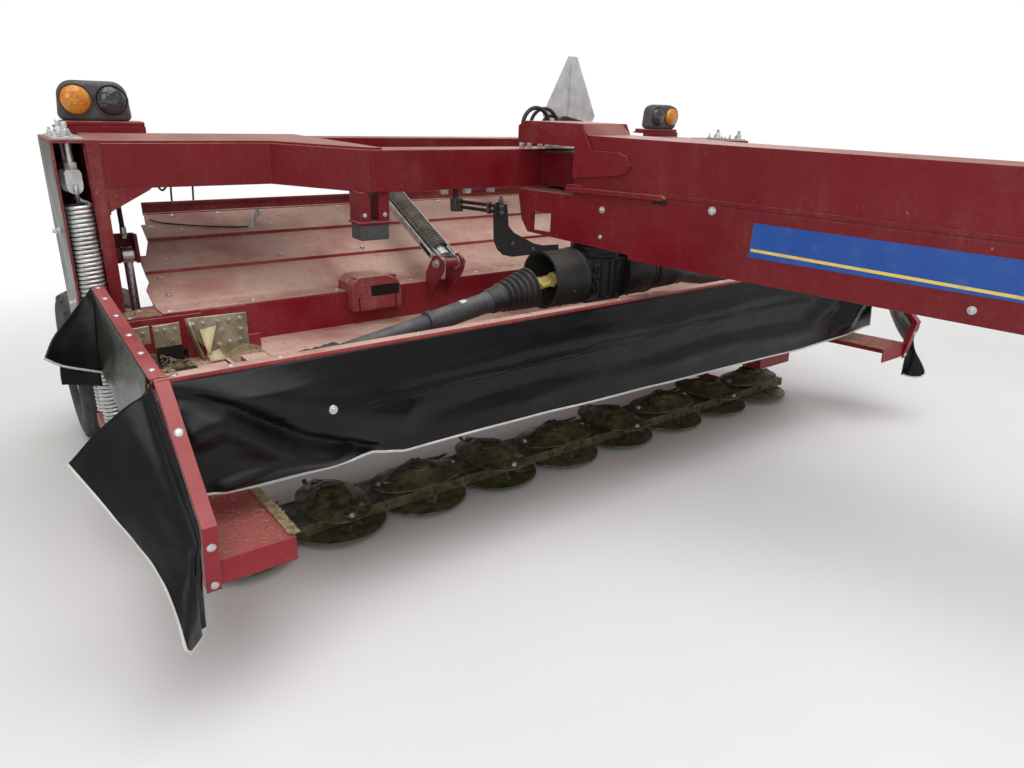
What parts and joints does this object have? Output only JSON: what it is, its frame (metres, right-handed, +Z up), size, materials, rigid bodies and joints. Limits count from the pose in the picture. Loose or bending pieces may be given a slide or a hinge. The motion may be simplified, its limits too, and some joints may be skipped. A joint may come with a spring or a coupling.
{
  "type": "trailed disc mower conditioner",
  "caption": "Wide trailed disc mower conditioner: rows of oblong cutting discs under black curtains, hung from a red arched trail frame on two wheels with a swinging tongue.",
  "frame": {"origin": "on the ground, at the middle of the bounding box", "axes": "+Z up, -Y forward towards the tongue and the curtain, +X towards the machine's left-hand side"},
  "size_m": [4.141, 6.877, 1.97],
  "materials": {
    "red": "satin",
    "dark": "matte",
    "black": "satin",
    "tyre": "matte",
    "olive": "satin",
    "steel": "satin",
    "rim": "satin",
    "amber": "gloss"
  },
  "bodies": {
    "trail_frame": {"front_beam": "red", "rear_beam": "red", "trail_legs": "red", "wheel_arms": "red", "spring_hangers": "steel", "float_springs": "steel", "lamp_brackets": "red", "lamp_housings": "dark", "lamp_lenses": "amber", "rear_sign": "steel", "frame_hoses": "black", "stop_blocks": "red", "swivel_gearbox": "dark", "shield_arm": "black"},
    "wheel_right": {"wheel_tyre_right": "tyre", "wheel_rim_right": "rim"},
    "wheel_left": {"wheel_tyre_left": "tyre", "wheel_rim_left": "rim"},
    "tongue": {"tongue_box": "red", "tongue_head": "red", "tongue_skirt": "red", "tongue_neck": "red", "hitch_clevis": "dark", "tongue_driveline": "dark", "jack_tube": "dark", "gearbox_head": "dark"},
    "jack_foot": {"jack_leg": "steel"},
    "link_right": {"lower_link_right": "red"},
    "link_left": {"lower_link_left": "red"},
    "upper_link": {"top_link": "steel"},
    "barrel_right": {"cylinder_barrel_right": "dark"},
    "rod_right": {"cylinder_rod_right": "steel"},
    "barrel_left": {"cylinder_barrel_left": "dark"},
    "rod_left": {"cylinder_rod_left": "steel"},
    "header": {"deck_panels": "red", "deck_channel": "red", "front_shield": "red", "end_frames": "red", "end_boxes": "red", "cutterbar": "olive", "rock_guards": "olive", "conditioner_sides": "red", "windrow_shields": "red", "end_gearboxes": "dark", "front_curtain": "black", "end_curtains": "black", "side_curtains": "black"},
    "driveline_right": {"drive_tube_right": "dark"},
    "driveline_left": {"drive_tube_left": "dark"},
    "upper_roll": {"roll_upper": "black"},
    "lower_roll": {"roll_lower": "black"},
    "cutter_1": {"disc_1": "olive"},
    "cutter_2": {"disc_2": "olive"},
    "cutter_3": {"disc_3": "olive"},
    "cutter_4": {"disc_4": "olive"},
    "cutter_5": {"disc_5": "olive"},
    "cutter_6": {"disc_6": "olive"},
    "cutter_7": {"disc_7": "olive"},
    "cutter_8": {"disc_8": "olive"},
    "cutter_9": {"disc_9": "olive"}
  },
  "joints": [
    {"name": "wheel_right_spin", "type": "hinge", "parent": "trail_frame", "child": "wheel_right", "pos_m": [-1.69, 3.0436, 0.395], "axis": [1, 0, 0], "continuous": true},
    {"name": "wheel_left_spin", "type": "hinge", "parent": "trail_frame", "child": "wheel_left", "pos_m": [1.69, 3.0436, 0.395], "axis": [1, 0, 0], "continuous": true},
    {"name": "tongue_swing", "type": "hinge", "parent": "trail_frame", "child": "tongue", "pos_m": [0, 1.06882, 1.38063], "axis": [0, -0.0698, 0.9976], "range_deg": [-46, 23]},
    {"name": "jack_slide", "type": "slide", "parent": "tongue", "child": "jack_foot", "axis": [0, 0, 1], "range_m": [0, 0.35]},
    {"name": "header_lift", "type": "hinge", "parent": "trail_frame", "child": "link_left", "pos_m": [1.66, 2.3236, 0.66], "axis": [-1, 0, 0], "range_deg": [0, 13], "deforming": ["float_springs"]},
    {"name": "link_right_lift", "type": "hinge", "parent": "trail_frame", "child": "link_right", "pos_m": [-1.66, 2.3236, 0.66], "axis": [-1, 0, 0], "range_deg": [0, 13]},
    {"name": "upper_link_lift", "type": "hinge", "parent": "trail_frame", "child": "upper_link", "pos_m": [-0.445, 2.18166, 1.30863], "axis": [-1, 0, 0], "range_deg": [0, 13]},
    {"name": "header_level", "type": "hinge", "parent": "link_left", "child": "header", "pos_m": [1.66, 1.70554, 0.33137], "axis": [-1, 0, 0], "range_deg": [-13, 0]},
    {"name": "barrel_left_tilt", "type": "hinge", "parent": "link_left", "child": "barrel_left", "pos_m": [1.66, 2.0436, 0.511], "axis": [-1, 0, 0], "range_deg": [-9.95, 0]},
    {"name": "barrel_right_tilt", "type": "hinge", "parent": "link_right", "child": "barrel_right", "pos_m": [-1.66, 2.0436, 0.511], "axis": [-1, 0, 0], "range_deg": [-9.95, 0]},
    {"name": "rod_left_slide", "type": "slide", "parent": "barrel_left", "child": "rod_left", "axis": [0, 0, 1], "range_m": [-0.0662, 0]},
    {"name": "rod_right_slide", "type": "slide", "parent": "barrel_right", "child": "rod_right", "axis": [0, 0, 1], "range_m": [-0.0662, 0]},
    {"name": "drive_tube_left_tilt", "type": "hinge", "parent": "trail_frame", "child": "driveline_left", "pos_m": [0.2, 1.09895, 0.94968], "axis": [-0.0613, -0.9287, -0.3658], "range_deg": [0, 7.51]},
    {"name": "drive_tube_right_tilt", "type": "hinge", "parent": "trail_frame", "child": "driveline_right", "pos_m": [-0.2, 1.09895, 0.94968], "axis": [-0.0613, 0.9287, 0.3658], "range_deg": [0, 7.51]},
    {"name": "lower_roll_spin", "type": "hinge", "parent": "header", "child": "lower_roll", "pos_m": [0, 1.9036, 0.42], "axis": [1, 0, 0], "continuous": true},
    {"name": "upper_roll_spin", "type": "hinge", "parent": "header", "child": "upper_roll", "pos_m": [0, 2.0436, 0.64], "axis": [1, 0, 0], "continuous": true},
    {"name": "disc_1_spin", "type": "hinge", "parent": "header", "child": "cutter_1", "pos_m": [-1.56, 1.3436, 0.11], "axis": [0, 0, 1], "continuous": true},
    {"name": "disc_2_spin", "type": "hinge", "parent": "header", "child": "cutter_2", "pos_m": [-1.17, 1.3436, 0.11], "axis": [0, 0, 1], "continuous": true},
    {"name": "disc_3_spin", "type": "hinge", "parent": "header", "child": "cutter_3", "pos_m": [-0.78, 1.3436, 0.11], "axis": [0, 0, 1], "continuous": true},
    {"name": "disc_4_spin", "type": "hinge", "parent": "header", "child": "cutter_4", "pos_m": [-0.39, 1.3436, 0.11], "axis": [0, 0, 1], "continuous": true},
    {"name": "disc_5_spin", "type": "hinge", "parent": "header", "child": "cutter_5", "pos_m": [0, 1.3436, 0.11], "axis": [0, 0, 1], "continuous": true},
    {"name": "disc_6_spin", "type": "hinge", "parent": "header", "child": "cutter_6", "pos_m": [0.39, 1.3436, 0.11], "axis": [0, 0, 1], "continuous": true},
    {"name": "disc_7_spin", "type": "hinge", "parent": "header", "child": "cutter_7", "pos_m": [0.78, 1.3436, 0.11], "axis": [0, 0, 1], "continuous": true},
    {"name": "disc_8_spin", "type": "hinge", "parent": "header", "child": "cutter_8", "pos_m": [1.17, 1.3436, 0.11], "axis": [0, 0, 1], "continuous": true},
    {"name": "disc_9_spin", "type": "hinge", "parent": "header", "child": "cutter_9", "pos_m": [1.56, 1.3436, 0.11], "axis": [0, 0, 1], "continuous": true}
  ],
  "couplings": [
    {"joint": "link_right_lift", "follows": "header_lift", "ratio": 1},
    {"joint": "upper_link_lift", "follows": "header_lift", "ratio": 1},
    {"joint": "header_level", "follows": "header_lift", "ratio": -1},
    {"joint": "barrel_left_tilt", "follows": "header_lift", "ratio": -0.76435},
    {"joint": "barrel_right_tilt", "follows": "header_lift", "ratio": -0.76435},
    {"joint": "rod_left_slide", "follows": "header_lift", "m_per_rad": -0.29133},
    {"joint": "rod_right_slide", "follows": "header_lift", "m_per_rad": -0.29133},
    {"joint": "drive_tube_left_tilt", "follows": "header_lift", "ratio": 0.57729},
    {"joint": "drive_tube_right_tilt", "follows": "header_lift", "ratio": 0.57729},
    {"joint": "upper_roll_spin", "follows": "lower_roll_spin", "ratio": -1},
    {"joint": "disc_2_spin", "follows": "disc_1_spin", "ratio": -1},
    {"joint": "disc_3_spin", "follows": "disc_1_spin", "ratio": 1},
    {"joint": "disc_4_spin", "follows": "disc_1_spin", "ratio": -1},
    {"joint": "disc_5_spin", "follows": "disc_1_spin", "ratio": 1},
    {"joint": "disc_6_spin", "follows": "disc_1_spin", "ratio": -1},
    {"joint": "disc_7_spin", "follows": "disc_1_spin", "ratio": 1},
    {"joint": "disc_8_spin", "follows": "disc_1_spin", "ratio": -1},
    {"joint": "disc_9_spin", "follows": "disc_1_spin", "ratio": 1}
  ]
}
